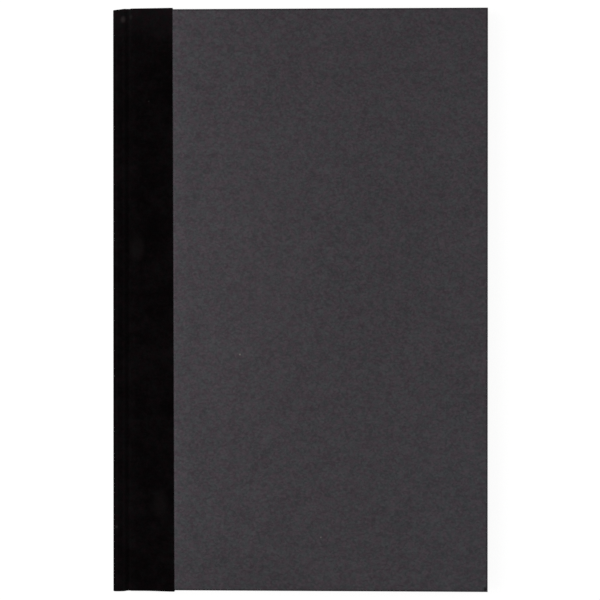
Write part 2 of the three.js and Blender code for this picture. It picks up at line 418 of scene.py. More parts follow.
class Effects:
    """Node groups for grain, weave and marks of handling, each built once."""

    def __init__(self) -> None:
        """Build every group."""
        self.pebble = self._pebble_group()
        self.weave = self._weave_group()
        self.marks = self._marks_group()

    @staticmethod
    def _open(name: str, inputs: dict[str, float], outputs: list[str]) -> tuple[Graph, Sockets, Sockets]:
        """Make a group that takes a vector and some values, and puts out values.

        Args:
            name: Name of the group.
            inputs: Default of each value input, by name.
            outputs: Names of the value outputs.

        Returns:
            The graph, what the group is given, and the sockets that take its results.
        """
        tree = bpy.data.node_groups.new(name, "ShaderNodeTree")
        tree.interface.new_socket("Vector", in_out="INPUT", socket_type="NodeSocketVector")
        for label, default in inputs.items():
            socket = tree.interface.new_socket(label, in_out="INPUT", socket_type="NodeSocketFloat")
            socket.default_value = default
        for label in outputs:
            tree.interface.new_socket(label, in_out="OUTPUT", socket_type="NodeSocketFloat")
        graph = Graph(tree)
        return graph, graph.add("NodeGroupInput").outputs, graph.add("NodeGroupOutput").inputs

    def _pebble_group(self) -> bpy.types.NodeTree:
        """Fine pebbled, wormy grain of a covering paper, with soft clouds in its tone.

        Returns:
            The group, with the grain's height and the paper's tone.
        """
        cells_to_grain, cell_core, cell_rim = 1.3, 0.05, 0.75
        ridge_share, grain_share = 0.6, 0.82
        inputs = {"Grain Scale": 430.0, "Cloud Scale": 90.0}
        graph, given, result = self._open("pebble_grain", inputs, ["Height", "Tone"])
        place, scale = given["Vector"], given["Grain Scale"]
        ridges = graph.spread(graph.noise(place, scale, detail=1.5, distortion=1.2), reach=0.2)
        inputs = {"Vector": place, "Scale": graph.times(scale, cells_to_grain), "Smoothness": 0.6}
        pebble = graph.add("ShaderNodeTexVoronoi", inputs, feature="SMOOTH_F1").outputs
        cells = graph.ramp(pebble["Distance"], cell_core, cell_rim, 1.0, 0.0)
        cloud = graph.noise(place, given["Cloud Scale"], detail=4.0, roughness=0.6, distortion=0.4)
        height = graph.weigh(ridges, ridge_share, cells, 1.0 - ridge_share)
        clouds = graph.spread(cloud, reach=0.2)
        tone = graph.weigh(height, grain_share, clouds, 1.0 - grain_share)
        graph.feed(result["Height"], height)
        graph.feed(result["Tone"], tone)
        return graph.tree

    def _weave_group(self) -> bpy.types.NodeTree:
        """Plain weave: threads over and under each other, with uneven thickness.

        Returns:
            The group, with the threads' height and the gaps between them.
        """
        wobble_scale = 260.0
        inputs = {"Threads": 2200.0, "Unevenness": 0.3}
        graph, given, result = self._open("plain_weave", inputs, ["Height", "Gaps"])
        wobble = graph.noise(given["Vector"], wobble_scale)
        shift = graph.times(graph.minus(wobble, 0.5), given["Unevenness"])
        waves = []
        for coordinate in graph.split(given["Vector"])[:2]:
            turns = graph.plus(graph.times(coordinate, given["Threads"]), shift)
            waves.append(graph.times(turns, math.pi))
        across, along = (graph.magnitude(graph.math("SINE", wave)) for wave in waves)
        over = graph.raised(graph.times(*(graph.math("COSINE", wave) for wave in waves)))
        top = graph.times(across, over)
        under = graph.times(along, graph.minus(1.0, over))
        graph.feed(result["Height"], graph.plus(top, under))
        graph.feed(result["Gaps"], graph.times(across, along))
        return graph.tree

    def _marks_group(self) -> bpy.types.NodeTree:
        """Sparse fine specks and broad faint rubs.

        Returns:
            The group, with a mask of the specks and one of the rubs.
        """
        speck_core, speck_rim, bare_share = 0.02, 0.06, 0.9
        rub_low, rub_high = 0.55, 0.75
        inputs = {"Speck Scale": 90.0, "Rub Scale": 14.0}
        graph, given, result = self._open("handling_marks", inputs, ["Specks", "Rubs"])
        place = given["Vector"]
        inputs = {"Vector": place, "Scale": given["Speck Scale"]}
        speck = graph.add("ShaderNodeTexVoronoi", inputs, feature="F1").outputs
        chosen = graph.add("ShaderNodeTexWhiteNoise", {"Vector": speck["Color"]}, noise_dimensions="3D")
        dots = graph.ramp(speck["Distance"], speck_core, speck_rim, 1.0, 0.0)
        few = graph.math("GREATER_THAN", chosen.outputs[0], bare_share)
        rub = graph.noise(place, given["Rub Scale"], detail=6.0, roughness=0.62, distortion=0.8)
        graph.feed(result["Specks"], graph.times(dots, few))
        graph.feed(result["Rubs"], graph.ramp(rub, rub_low, rub_high))
        return graph.tree


def srgb(red: float, green: float, blue: float) -> Color:
    """Turn a colour of 0 to 255 levels into the linear colour that a shader takes.

    Args:
        red: Red level.
        green: Green level.
        blue: Blue level.

    Returns:
        Linear red, green, blue and an alpha of 1.
    """
    def linear(level: float) -> float:
        """Linear value of one level, by the formula of the sRGB standard."""
        share = level / 255.0
        return share / 12.92 if share <= 0.04045 else ((share + 0.055) / 1.055) ** 2.4

    return (linear(red), linear(green), linear(blue), 1.0)


CLOTH_DUST = srgb(60, 56, 55)
# Darker patches on the paper, and painted shade at a bent corner
DARK_PATCH_AND_PAINTED_SHADE = srgb(16, 15, 16)
# Lighter patches on the paper
LIGHT_PATCH = srgb(118, 104, 110)


@dataclass(frozen=True)
class Mark:
    """A soft mark: its middle and its reach each way in millimetres, its strength and its colour."""

    middle: tuple[float, float]
    reach: tuple[float, float]
    strength: float
    tone: Color
    core: float = 0.2


class Surface(Graph):
    """The graph of one material, with its surface shader and the shared effects."""

    def __init__(self, name: str, effects: Effects | None = None) -> None:
        """Start a material.

        Args:
            name: Name of the material.
            effects: The shared node groups, where the material uses them.
        """
        self.material = bpy.data.materials.new(name)
        self.material.use_nodes = True
        super().__init__(self.material.node_tree)
        self.shader = self.tree.nodes["Principled BSDF"]
        self.effects = effects

    def give(self, name: str, value: object) -> None:
        """Link a socket to one of the shader's inputs, or set its value."""
        self.feed(self.shader.inputs[name], value)

    def place(self) -> Socket:
        """Socket with a point's place on the object."""
        return self.add("ShaderNodeTexCoord").outputs["Object"]

    def effect(self, group: bpy.types.NodeTree, inputs: dict) -> Sockets:
        """Add a shared node group and return its outputs."""
        return self.add("ShaderNodeGroup", inputs, node_tree=group).outputs

    def tinted(self, tone: Socket, patches: Socket, warm: Color, cool: Color) -> Socket:
        """Vary the hue of a colour from patch to patch.

        Args:
            tone: The colour.
            patches: A noise.
            warm: Factors of red, green and blue where the noise is low.
            cool: Factors where it is high.

        Returns:
            The varied colour.
        """
        tint = self.mix(self.spread(patches, reach=0.15), warm, cool)
        return self.mix(1.0, tone, tint, "MULTIPLY")

    def marked(self, tone: Socket, across: Socket, along: Socket, marks: tuple[Mark, ...],
               share: object = 1.0) -> Socket:
        """Lay marks over a colour.

        Args:
            tone: The colour below the marks.
            across: First coordinate of a point.
            along: Second coordinate of a point.
            marks: The marks.
            share: Share of the marks that shows at a point.

        Returns:
            The colour with its marks.
        """
        for mark in marks:
            off = []
            for value, middle, reach in zip((across, along), mark.middle, mark.reach):
                step = self.math("DIVIDE", self.minus(value, middle * MM), reach * MM)
                off.append(self.times(step, step))
            distance = self.math("SQRT", self.plus(*off))
            cover = self.times(self.ramp(distance, mark.core, 1.0, mark.strength, 0.0), share)
            tone = self.mix(cover, tone, mark.tone)
        return tone


@dataclass(frozen=True)
class Skin:
    """What a finish puts on a surface: its colour, its relief from 0 to 1 and the relief's full height."""

    tone: Socket
    relief: Socket
    full_height: float


@dataclass(frozen=True)
class Finish:
    """A surface finish; each kind of finish fills in its own nodes."""

    name: str
    color: Color
    roughness: float
    specular: float

    def build(self, effects: Effects) -> bpy.types.Material:
        """Make the material.

        Args:
            effects: The shared node groups.

        Returns:
            The finished material.
        """
        surface = Surface(self.name, effects)
        surface.give("Roughness", self.roughness)
        surface.give("Specular IOR Level", self.specular)
        skin = self.dress(surface)
        surface.give("Base Color", skin.tone)
        inputs = {"Strength": 1.0, "Distance": skin.full_height, "Height": skin.relief}
        surface.give("Normal", surface.add("ShaderNodeBump", inputs).outputs[0])
        return surface.material

    def dress(self, surface: Surface) -> Skin:
        """Add the nodes of this finish.

        Args:
            surface: The material's graph.

        Returns:
            The colour and the relief.
        """
        raise NotImplementedError


@dataclass(frozen=True)
class CoveringPaper(Finish):
    """Matt charcoal paper with a fine pebbled grain, painted shade at its rims and painted light beside
    the seam.
    """

    seam_x: float
    seam_slope: float
    fore_x: float
    end_y: float
    middle_z: float
    light: Color = srgb(72.6, 70.0, 73.9)
    stretch: tuple[float, float, float] = (1.0, 1.22, 1.0)
    grain_height: float = 0.05 * MM
    fibre_scale: float = 330.0
    warm: Color = (1.08, 0.944, 0.99, 1.0)
    cool: Color = (0.933, 1.045, 1.0, 1.0)
    speck: Color = srgb(112, 108, 108)
    speck_share: float = 0.6
    # Painted shade at the rim of the outer face, and darker lines along the mitres of the turn-ins
    rim_painted_shade_share: float = 0.42
    rim_start: float = 0.65 * MM
    rim_end: float = 1.35 * MM
    face_start: float = 0.7 * MM
    face_end: float = 1.3 * MM
    turned_start: float = 3.4 * MM
    turned_end: float = 3.1 * MM
    mitre_start: float = 0.075 * MM
    mitre_end: float = 0.25 * MM
    mitre_share: float = 0.6
    # Painted light beside the seam: a soft band, a brighter line along the cut edge, and a broad glow
    seam_band: float = 11.0 * MM
    painted_band_lift: float = 0.14
    painted_line_width: float = 1.6 * MM
    painted_line_lift: float = 0.3
    painted_glow_start: float = 20.0 * MM
    painted_glow_end: float = 68.0 * MM
    painted_glow_lift: float = 0.065
    # Broad lighter, darker and tinted patches, two light specks, and painted shade at one corner
    marks: tuple[Mark, ...] = (
        Mark((-35.0, 8.0), (52.0, 112.0), 0.024, LIGHT_PATCH),
        Mark((104.0, 10.0), (22.0, 90.0), 0.016, LIGHT_PATCH),
        Mark((92.0, -120.0), (55.0, 95.0), 0.02, srgb(95, 108, 118)),
        Mark((48.0, 38.0), (40.0, 100.0), 0.045, DARK_PATCH_AND_PAINTED_SHADE),
        Mark((-52.0, -170.0), (95.0, 42.0), 0.1, DARK_PATCH_AND_PAINTED_SHADE),
        Mark((15.0, 150.0), (130.0, 62.0), 0.05, srgb(40, 12, 25)),
        Mark((-34.5, -31.4), (0.8, 0.8), 0.7, srgb(128, 122, 118)),
        Mark((12.1, -136.7), (0.7, 0.7), 0.6, srgb(118, 112, 110)),
        # Painted shade at the bent corner at the tail of the fore edge
        Mark((106.6, -166.2), (1.1, 2.0), 0.85, DARK_PATCH_AND_PAINTED_SHADE),
    )

    def dress(self, surface: Surface) -> Skin:
        """Grain in tone, hue and height, then specks, the painted shade at the rims, the painted light
        beside the seam and the marks.

        Args:
            surface: The material's graph.

        Returns:
            The paper's colour, and its grain as the relief.
        """
        place = surface.place()
        x, y, z = surface.split(place)
        inputs = {"Vector": surface.scaled(place, self.stretch)}
        grain = surface.effect(surface.effects.pebble, inputs)
        tone = surface.mix(grain["Tone"], self.color, self.light)
        fibres = surface.noise(place, self.fibre_scale, roughness=0.6)
        tone = surface.tinted(tone, fibres, self.warm, self.cool)
        handling = surface.effect(surface.effects.marks, {"Vector": place})
        tone = surface.mix(surface.times(handling["Specks"], self.speck_share), tone, self.speck)
        # Painted light beside the seam times painted shade at the rims, laid over the paper's colour
        level = surface.times(self.seam_painted_light(surface, x, y), self.rim_painted_shade_and_mitres(surface, x, y, z))
        grey = surface.add("ShaderNodeCombineColor", {0: level, 1: level, 2: level}).outputs[0]
        tone = surface.mix(1.0, tone, grey, "MULTIPLY")
        on_front = surface.math("GREATER_THAN", z, self.middle_z)
        tone = surface.marked(tone, x, y, self.marks, on_front)
        return Skin(tone, grain["Height"], self.grain_height)

    def seam_painted_light(self, surface: Surface, x: Socket, y: Socket) -> Socket:
        """Painted light beside the seam: a soft band that paints out the shadow of the cloth's edge, a
        brighter painted line along the cut edge, and a broad painted glow that fades away from the seam.

        Args:
            surface: The material's graph.
            x: A point's X.
            y: A point's Y.

        Returns:
            The level, 1 away from the seam.
        """
        beyond = surface.plus(surface.minus(x, self.seam_x), surface.times(y, self.seam_slope))
        band = surface.ramp(beyond, 0.0, self.seam_band, 1.0 + self.painted_band_lift, 1.0)
        line = surface.ramp(beyond, 0.0, self.painted_line_width, 1.0 + self.painted_line_lift, 1.0)
        glow = surface.ramp(beyond, self.painted_glow_start, self.painted_glow_end, 1.0 + self.painted_glow_lift, 1.0)
        return surface.times(glow, surface.times(band, line))

    def rim_painted_shade_and_mitres(self, surface: Surface, x: Socket, y: Socket, z: Socket) -> Socket:
        """Painted shade at the rim of a cover's outer face, and darker lines along the mitres of the
        turned-in paper.

        Args:
            surface: The material's graph.
            x: A point's X.
            y: A point's Y.
            z: A point's Z.

        Returns:
            The level, 1 away from the rim.
        """
        to_fore = surface.minus(self.fore_x, x)
        to_end = surface.minus(self.end_y, surface.magnitude(y))
        inside = surface.math("MINIMUM", to_fore, to_end)
        rim = surface.ramp(inside, self.rim_start, self.rim_end, self.rim_painted_shade_share, 0.0)
        height = surface.magnitude(surface.minus(z, self.middle_z))
        outer = surface.ramp(height, self.middle_z - self.face_end, self.middle_z - self.face_start)
        off_mitre = surface.magnitude(surface.minus(to_fore, to_end))
        mitre = surface.ramp(off_mitre, self.mitre_start, self.mitre_end, self.mitre_share, 0.0)
        turned_low, turned_high = self.middle_z - self.turned_start, self.middle_z - self.turned_end
        turned = surface.ramp(height, turned_low, turned_high, 1.0, 0.0)
        loss = surface.plus(surface.times(rim, outer), surface.times(mitre, turned))
        return surface.minus(1.0, loss)


@dataclass(frozen=True)
class PaintedLightLine:
    """A line along the spine of painted light beside the joint groove: a painted highlight, or painted
    shade where its strength is below 0.
    """

    middle: float
    reach: float
    strength: float


@dataclass(frozen=True)
class BookCloth(Finish):
    """Dull black book cloth: a close weave, faint rubs, specks of dust, and painted highlights and shade
    along the joint groove.

    Its marks and painted light lines are placed on the cloth's UV map: across from the middle of the
    spine, and along from the edge of the turn-in at the head.
    """

    threads: float = 2000.0
    thread_height: float = 0.035 * MM
    sheen: float = 0.052
    sheen_roughness: float = 0.45
    # Lighter colour for handling marks, and for the painted highlights beside the joint groove
    rubbed_and_painted_light: Color = srgb(20, 16.5, 18)
    rub_scale: float = 22.0
    rub_share: float = 0.3
    crown: tuple[float, float] = (0.3, 0.9)
    bloom_scale: float = 26.0
    bloom_share: float = 0.52
    bloom: tuple[float, float] = (0.38, 0.66)
    hue_scale: float = 300.0
    warm: Color = (1.2, 0.89, 0.98, 1.0)
    cool: Color = (0.82, 1.11, 1.02, 1.0)
    speck_share: float = 0.2
    head_start: float = 13.3 * MM
    head_end: float = 41.3 * MM
    head_share: float = 0.62
    line_start: float = 24.5 * MM
    # Painted highlights on the rolled spine edge and the groove's walls, and painted shade in the groove
    # where the strength is below 0
    painted_light_lines: tuple[PaintedLightLine, ...] = (
        PaintedLightLine(10.15 * MM, 1.0 * MM, 0.34),
        PaintedLightLine(11.6 * MM, 0.8 * MM, 0.04),
        PaintedLightLine(14.4 * MM, 1.5 * MM, 0.15),
        PaintedLightLine(18.8 * MM, 0.9 * MM, -0.07),
        PaintedLightLine(20.6 * MM, 1.8 * MM, 0.08),
    )
    marks: tuple[Mark, ...] = (
        Mark((14.0, 21.6), (2.1, 2.6), 0.33, CLOTH_DUST),
        Mark((19.0, 20.4), (1.7, 2.0), 0.13, CLOTH_DUST),
        Mark((22.7, 153.4), (6.0, 11.0), 0.06, CLOTH_DUST),
        Mark((35.4, 301.3), (7.0, 13.0), 0.05, CLOTH_DUST),
        Mark((10.0, 313.9), (1.1, 1.1), 0.3, CLOTH_DUST),
        Mark((14.5, 60.0), (8.0, 30.0), 0.012, CLOTH_DUST),
    )

    def dress(self, surface: Surface) -> Skin:
        """Weave, rubs, dust and painted light lines, all along the cloth's own UV map so that they bend
        with it.

        Args:
            surface: The material's graph, whose shader also gets its sheen here.

        Returns:
            The cloth's colour, and its weave as the relief.
        """
        lie = surface.add("ShaderNodeUVMap", uv_map=CLOTH_UV).outputs[0]
        across, along = surface.split(lie)[:2]
        weave = surface.effect(surface.effects.weave, {"Vector": lie, "Threads": self.threads})
        handling = surface.effect(surface.effects.marks, {"Vector": lie, "Rub Scale": self.rub_scale})
        bloom = surface.noise(lie, self.bloom_scale, detail=8.0, roughness=0.95)
        rub = surface.times(handling["Rubs"], surface.ramp(weave["Height"], *self.crown))
        wear_and_painted_light = surface.weigh(rub, self.rub_share, surface.ramp(bloom, *self.bloom), self.bloom_share)
        # Adds handling at the head and the painted highlights and shade beside the joint groove
        wear_and_painted_light = surface.plus(wear_and_painted_light, self.head_wear_and_painted_lines(surface, across, along))
        tone = surface.mix(wear_and_painted_light, self.color, self.rubbed_and_painted_light)
        patches = surface.noise(lie, self.hue_scale, roughness=0.6)
        tone = surface.tinted(tone, patches, self.warm, self.cool)
        tone = surface.mix(surface.times(handling["Specks"], self.speck_share), tone, CLOTH_DUST)
        tone = surface.marked(tone, across, along, self.marks)
        surface.give("Sheen Weight", self.sheen)
        surface.give("Sheen Roughness", self.sheen_roughness)
        return Skin(tone, weave["Height"], self.thread_height)

    def head_wear_and_painted_lines(self, surface: Surface, across: Socket, along: Socket) -> Socket:
        """Rubbing at the head, where a hand takes hold, and below it painted highlights and painted shade
        along lines beside the joint groove.

        Args:
            surface: The material's graph.
            across: Way from the middle of the spine.
            along: Way from the edge of the turn-in at the head.

        Returns:
            The share of the lighter colour, from handling at the head and from painted light and shade
            along the lines.
        """
        head_wear_and_painted_share = surface.ramp(along, self.head_start, self.head_end, self.head_share, 0.0)
        below_head = surface.ramp(along, self.line_start, self.head_end)
        for line in self.painted_light_lines:
            off = surface.magnitude(surface.minus(surface.magnitude(across), line.middle))
            share = surface.ramp(off, 0.0, line.reach, line.strength, 0.0)
            head_wear_and_painted_share = surface.plus(head_wear_and_painted_share, surface.times(share, below_head))
        return head_wear_and_painted_share


@dataclass(frozen=True)
class PagePaper(Finish):
    """Uncoated paper with a faint tooth and cloud, and the fine streaks of a trimmed edge."""

    shade: Color = srgb(225, 217, 202)
    fore_x: float = FAR_AWAY
    end_y: float = FAR_AWAY
    cloud_scale: float = 60.0
    cloud_share: float = 0.12
    fibre_scale: float = 900.0
    fibre_share: float = 0.3
    trimmed: Color = srgb(188, 177, 156)
    edge_start: float = 0.018 * MM
    edge_end: float = 0.06 * MM
    streaks: tuple[float, float, float] = (14.0, 14.0, 1500.0)
    streak_share: float = 0.75
    tooth: float = 0.01 * MM

    def dress(self, surface: Surface) -> Skin:
        """Soft tone clouds, a fine tooth, and streaks on the trimmed edges.

        Args:
            surface: The material's graph.

        Returns:
            The paper's colour, and its fibres as the relief.
        """
        place = surface.place()
        x, y, _ = surface.split(place)
        cloud = surface.noise(place, self.cloud_scale, detail=5.0, roughness=0.7)
        fibre = surface.noise(place, self.fibre_scale, detail=3.0, roughness=0.6, distortion=0.6)
        clouds = surface.spread(cloud, reach=0.2)
        mottle = surface.weigh(clouds, self.cloud_share, fibre, self.fibre_share)
        tone = surface.mix(mottle, self.color, self.shade)
        to_end = surface.minus(self.end_y, surface.magnitude(y))
        inside = surface.math("MINIMUM", surface.minus(self.fore_x, x), to_end)
        on_edge = surface.ramp(inside, self.edge_start, self.edge_end, self.streak_share, 0.0)
        streaks = surface.noise(surface.scaled(place, self.streaks), 1.0, detail=4.0, roughness=0.75)
        streaked = surface.times(surface.spread(streaks, reach=0.18), on_edge)
        tone = surface.mix(streaked, tone, self.trimmed)
        return Skin(tone, fibre, self.tooth)


@dataclass(frozen=True)
class Greyboard(Finish):
    """Pressed grey board with flecks."""

    fleck: Color = srgb(96, 90, 82)
    fleck_scale: float = 1100.0
    fleck_tone: tuple[float, float] = (0.35, 0.7)
    fleck_height: float = 0.04 * MM

    def dress(self, surface: Surface) -> Skin:
        """Flecks of fibre in tone and height.

        Args:
            surface: The material's graph.

        Returns:
            The board's colour, and its flecks as the relief.
        """
        place = surface.place()
        flecks = surface.noise(place, self.fleck_scale, detail=5.0, roughness=0.7, distortion=1.2)
        tone = surface.mix(surface.ramp(flecks, *self.fleck_tone), self.color, self.fleck)
        return Skin(tone, flecks, self.fleck_height)


@dataclass(frozen=True)
class Mull(Finish):
    """Open gauze, stiff with glue."""

    gap: Color = srgb(150, 138, 112)
    gap_tone: tuple[float, float] = (0.25, 0.8)
    threads: float = 700.0
    thread_height: float = 0.08 * MM

    def dress(self, surface: Surface) -> Skin:
        """Wide-set threads over darker glue.

        Args:
            surface: The material's graph.

        Returns:
            The gauze's colour, and its weave as the relief.
        """
        x, y, z = surface.split(surface.place())
        turned = surface.add("ShaderNodeCombineXYZ", {0: surface.plus(x, z), 1: y}).outputs[0]
        weave = surface.effect(surface.effects.weave, {"Vector": turned, "Threads": self.threads})
        tone = surface.mix(surface.ramp(weave["Gaps"], *self.gap_tone), self.color, self.gap)
        return Skin(tone, weave["Height"], self.thread_height)


@dataclass(frozen=True)
class Thread(Finish):
    """Waxed thread with a twist."""

    shade: Color = srgb(178, 168, 146)
    turn_along: float = 9000.0
    turn_up: float = 6000.0
    ply_height: float = 0.04 * MM

    def dress(self, surface: Surface) -> Skin:
        """Slanting plies.

        Args:
            surface: The material's graph.

        Returns:
            The thread's colour, and its plies as the relief.
        """
        _, y, z = surface.split(surface.place())
        slant = surface.weigh(y, self.turn_along, z, self.turn_up)
        ply = surface.raised(surface.math("SINE", slant))
        return Skin(surface.mix(ply, self.shade, self.color), ply, self.ply_height)


class Wardrobe:
    """Every material of the notebook."""

    def __init__(self, sizes: CaseSizes, cut: HandCut) -> None:
        """Build the shared effects and the materials.

        Args:
            sizes: The sizes of the case.
            cut: How the cloth was cut, which places the seam.
        """
        effects = Effects()
        self.covering = CoveringPaper(
            "charcoal_covering_paper", srgb(53.2, 50.5, 54.4), roughness=0.9, specular=0.12,
            seam_x=sizes.seam_x + cut.seam_stray, seam_slope=cut.seam_slant / sizes.cloth_end,
            fore_x=sizes.fore_x, end_y=sizes.paper_end, middle_z=sizes.middle,
        ).build(effects)
        self.cloth = BookCloth(
            "black_book_cloth", srgb(2.8, 1.4, 1.8), roughness=0.95, specular=0.0105,
        ).build(effects)
        self.pages = PagePaper(
            "page_paper", srgb(238, 232, 219), roughness=0.9, specular=0.15,
            fore_x=sizes.leaf_fore_x, end_y=sizes.leaf_end,
        ).build(effects)
        self.endpaper = PagePaper(
            "end_paper", srgb(232, 224, 209), roughness=0.9, specular=0.15, shade=srgb(219, 209, 192),
        ).build(effects)
        self.board = Greyboard(
            "grey_board", srgb(142, 135, 124), roughness=0.95, specular=0.1,
        ).build(effects)
        self.mull = Mull(
            "glued_mull", srgb(207, 199, 178), roughness=0.95, specular=0.1,
        ).build(effects)
        self.thread = Thread(
            "waxed_thread", srgb(222, 214, 194), roughness=0.7, specular=0.3,
        ).build(effects)


def laid_grid(columns: int, rows: int, place: Callable[[int, int], Vector]) -> bmesh.types.BMesh:
    """Make a grid and put each of its corners in place.

    Args:
        columns: Number of lines of corners across.
        rows: Number of lines of corners along.
        place: Gives the place of the corner in a column and a row.

    Returns:
        The mesh, with column * rows + row in the corners' grid layer.
    """
    mesh = bmesh.new()
    bmesh.ops.create_grid(mesh, x_segments=columns - 1, y_segments=rows - 1, size=1.0)
    number = mesh.verts.layers.int.new(GRID_LAYER)
    for vertex in mesh.verts:
        column = round((vertex.co.x + 1.0) / 2.0 * (columns - 1))
        row = round((vertex.co.y + 1.0) / 2.0 * (rows - 1))
        vertex.co = place(column, row)
        vertex[number] = column * rows + row
    return mesh


def new_piece(name: str, mesh: bmesh.types.BMesh, material: bpy.types.Material) -> bpy.types.Object:
    """Turn a finished bmesh into an object at the origin.

    Args:
        name: Name of the piece.
        mesh: The bmesh, freed here.
        material: Its material.

    Returns:
        The new object.
    """
    data = bpy.data.meshes.new(name)
    mesh.to_mesh(data)
    mesh.free()
    data.materials.append(material)
    for polygon in data.polygons:
        polygon.use_smooth = True
    piece = bpy.data.objects.new(name, data)
    bpy.context.scene.collection.objects.link(piece)
    return piece


def flip_to_outside(piece: bpy.types.Object, outside: Vector) -> None:
    """Turn a sheet's faces so that its broad faces look outwards.

    Args:
        piece: The sheet.
        outside: The direction in which its broad faces should look.
    """
    broad_share, end_tilt = 0.3, 0.5
    data = piece.data
    broad = max(polygon.area for polygon in data.polygons) * broad_share
    faces = [face for face in data.polygons if face.area > broad and abs(face.normal.y) < end_tilt]
    if sum((face.normal * face.area for face in faces), Vector()).dot(outside) < 0.0:
        data.flip_normals()


def give_thickness(piece: bpy.types.Object, thickness: float) -> None:
    """Give an open sheet a thickness behind its face.

    Args:
        piece: The sheet.
        thickness: Its thickness, in metres.
    """
    solidify = piece.modifiers.new("thickness", "SOLIDIFY")
    solidify.thickness = thickness
    solidify.offset = -1.0
    solidify.use_even_offset = True


def keep_flats_flat(piece: bpy.types.Object) -> None:
    """Shade a piece's large faces flat up to its rounded edges.

    Args:
        piece: The piece, with its other modifiers already on it.
    """
    weighted = piece.modifiers.new("flat_faces", "WEIGHTED_NORMAL")
    weighted.weight = 100
    weighted.keep_sharp = True


@dataclass(frozen=True)
class Station:
    """A line of the cloth strip from head to tail: where it lies and how far it is turned in."""

    point: Vector
    inward: Vector
    depth: float


@dataclass
class ClothSheet:
    """A stretch of the cloth strip, wrapped over the ends of what it covers.

    Its UV map unrolls the strip: across is the way from the middle of the spine, positive to the front.
    """

    name: str
    sizes: CaseSizes
    stations: list[Station]
    cut: HandCut
    lie_start: float = 0.0
    lie_sign: float = 1.0
    fold_radius: float = 0.45 * MM
    tightest_fold: float = 0.48
    sheet_share: float = 0.875
    rows: int = 56
    fold_steps: int = 4

    def fold(self, end: End, station: Station) -> list[tuple[float, float]]:
        """Points of Y and depth from the turned-in edge round the fold to the outer face.

        Args:
            end: Head or tail.
            station: The line of cloth that is folded.

        Returns:
            Pairs of Y and depth.
        """
        edge = self.sizes.cloth_end - self.cut.dip(end, station.point.x - self.sizes.spine_x)
        depth = station.depth
        radius = min(self.fold_radius, depth * self.tightest_fold)
        inner = self.sizes.cloth_end - TURN_IN
        angles = evenly(0.0, math.pi / 2, self.fold_steps) + [math.pi / 2]
        arc = [(radius * math.sin(angle), radius * math.cos(angle)) for angle in angles]
        points = [(inner, depth), ((inner + edge) / 2, depth)]
        points += [(edge - radius + sine, depth - radius + cosine) for sine, cosine in arc]
        points += [(edge - radius + cosine, radius - sine) for sine, cosine in arc]
        return [(end.value * y, below) for y, below in points]

    def path(self, station: Station) -> list[tuple[float, float]]:
        """Points of Y and depth from the turned-in edge at the head to the one at the tail.

        Args:
            station: The line of cloth.

        Returns:
            Pairs of Y and depth.
        """
        head = self.fold(End.HEAD, station)
        tail = self.fold(End.TAIL, station)
        middle = evenly(head[-1][0], tail[-1][0], self.rows + 1)[1:]
        return head + [(y, 0.0) for y in middle] + tail[::-1]

    def build(self, material: bpy.types.Material, outside: Vector) -> bpy.types.Object:
        """Make the sheet from a grid, laid along its stations and wrapped over the ends.

        Args:
            material: The cloth's material.
            outside: The direction in which its broad faces look.

        Returns:
            The finished piece.
        """
        sizes, cut = self.sizes, self.cut
        paths = [self.path(station) for station in self.stations]
        count = len(paths[0])

        def place(column: int, row: int) -> Vector:
            """Put a corner of the sheet in place, with its share of the seam's stray.

            Args:
                column: Number of its station.
                row: Its number along the strip, from the tail.

            Returns:
                Its place.
            """
            station = self.stations[column]
            y, depth = paths[column][count - 1 - row]
            share = max(0.0, station.point.x - sizes.board_x) / (sizes.seam_x - sizes.board_x)
            stray = share * (cut.seam_stray - cut.seam_slant * y / sizes.cloth_end)
            return station.point + station.inward * depth + Vector((stray, y, 0.0))

        mesh = laid_grid(len(self.stations), count, place)
        lie = mesh.loops.layers.uv.new(CLOTH_UV)
        number = mesh.verts.layers.int[GRID_LAYER]
        across = [self.lie_start + self.lie_sign * run for run in self.runs(self.stations)]
        along = self.lengths(paths[0])
        for face in mesh.faces:
            for loop in face.loops:
                column, row = divmod(loop.vert[number], count)
                loop[lie].uv = (across[column], along[count - 1 - row])
        for edge in mesh.edges:
            edge.smooth = not edge.is_boundary
        piece = new_piece(self.name, mesh, material)
        flip_to_outside(piece, outside)
        give_thickness(piece, sizes.cloth * self.sheet_share)
        return piece

    @staticmethod
    def runs(stations: list[Station]) -> list[float]:
        """Measure along the stations.

        Args:
            stations: The stations in order.

        Returns:
            The distance from the first station at each of them.
        """
        total = [0.0]
        for before, after in zip(stations, stations[1:]):
            total.append(total[-1] + (after.point - before.point).length)
        return total

    @staticmethod
    def lengths(path: list[tuple[float, float]]) -> list[float]:
        """Measure along a path.

        Args:
            path: Pairs of Y and depth.

        Returns:
            The distance from its start at each of its points.
        """
        total = [0.0]
        for before, after in zip(path, path[1:]):
            total.append(total[-1] + math.dist(before, after))
        return total


